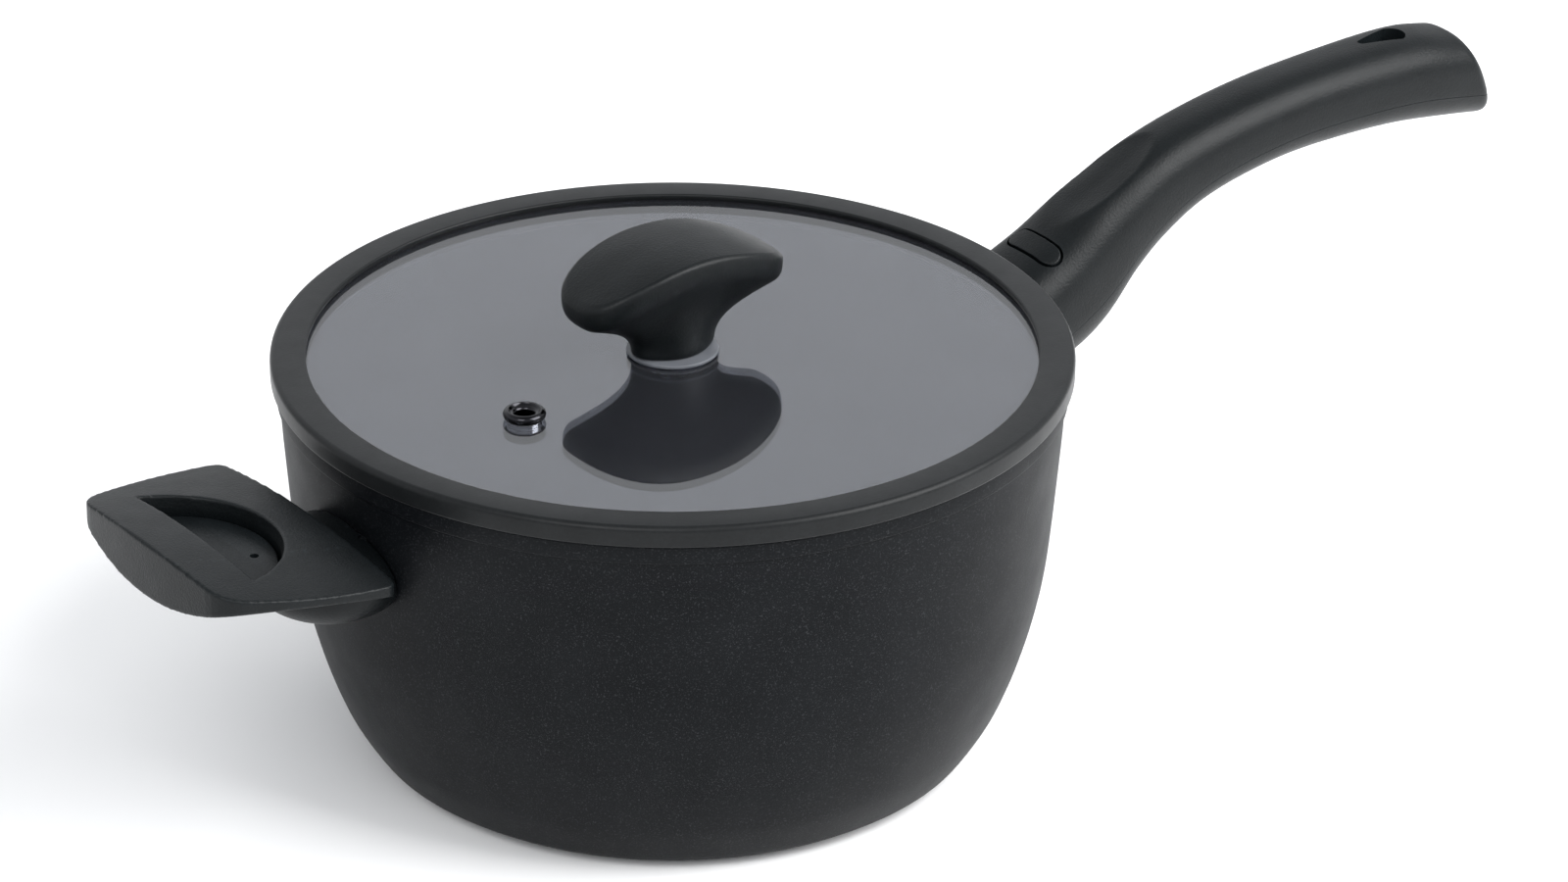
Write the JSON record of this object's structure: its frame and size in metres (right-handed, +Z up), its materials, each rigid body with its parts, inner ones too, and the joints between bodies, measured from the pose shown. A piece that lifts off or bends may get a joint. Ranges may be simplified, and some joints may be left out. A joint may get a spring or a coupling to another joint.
{
  "type": "saucepan with glass lid",
  "caption": "Deep coated saucepan with a curved detachable long handle, a helper handle and a vented glass lid with a silicone rim and an arched knob.",
  "frame": {"origin": "centre of the flat face that the pan stands on", "axes": "+Z up, +X from the pan's middle along the long handle, -X towards the helper handle"},
  "size_m": [0.5269, 0.252, 0.1695],
  "materials": {
    "coating": "fine speckled matt non-stick coating on cast aluminium",
    "base_steel": "brushed induction disc with a ring of scratches from use",
    "grip_plastic": "soft-touch black plastic with a fine grain",
    "silicone": "matt charcoal silicone",
    "seal": "grey silicone seal",
    "clear_seal": "milky clear silicone",
    "steel": "plain stainless steel",
    "dark_metal": "polished black nickel",
    "brass": "turned brass",
    "lid_glass": "clear tempered glass"
  },
  "bodies": {
    "pan": {"pan_body": "coating", "base_disc": "base_steel", "handle_bracket": "steel", "bracket_screw_lower": "steel", "bracket_screw_upper": "steel", "helper_grip": "grip_plastic", "helper_floor": "grip_plastic", "helper_screw": "steel"},
    "lid": {"lid_glass": "lid_glass", "lid_ring": "silicone", "vent_eyelet": "dark_metal", "vent_sleeve": "seal", "knob_grip": "grip_plastic", "knob_insert": "brass", "knob_sleeve": "seal", "knob_foot_gasket": "clear_seal", "knob_gasket": "seal", "knob_washer": "steel", "knob_screw": "steel"},
    "long_handle": {"handle_upper_shell": "grip_plastic", "handle_lower_shell": "grip_plastic", "handle_screw_front": "steel", "handle_screw_rear": "steel", "socket_liner": "steel", "latch_leaf": "steel", "latch_screw": "steel"},
    "button": {"release_button": "grip_plastic"}
  },
  "joints": [
    {"name": "lid_lift", "type": "slide", "parent": "pan", "child": "lid", "axis": [0, 0, 1], "range_m": [0, 0.12]},
    {"name": "handle_pull", "type": "slide", "parent": "pan", "child": "long_handle", "axis": [0.9272, 0, 0.3746], "range_m": [0, 0.05], "deforming": ["latch_leaf"]},
    {"name": "button_press", "type": "slide", "parent": "long_handle", "child": "button", "axis": [0.3746, 0, -0.9272], "range_m": [0, 0.0026], "stiffness_N_per_m": 900, "springref_m": -0.002, "deforming": ["latch_leaf"]}
  ]
}
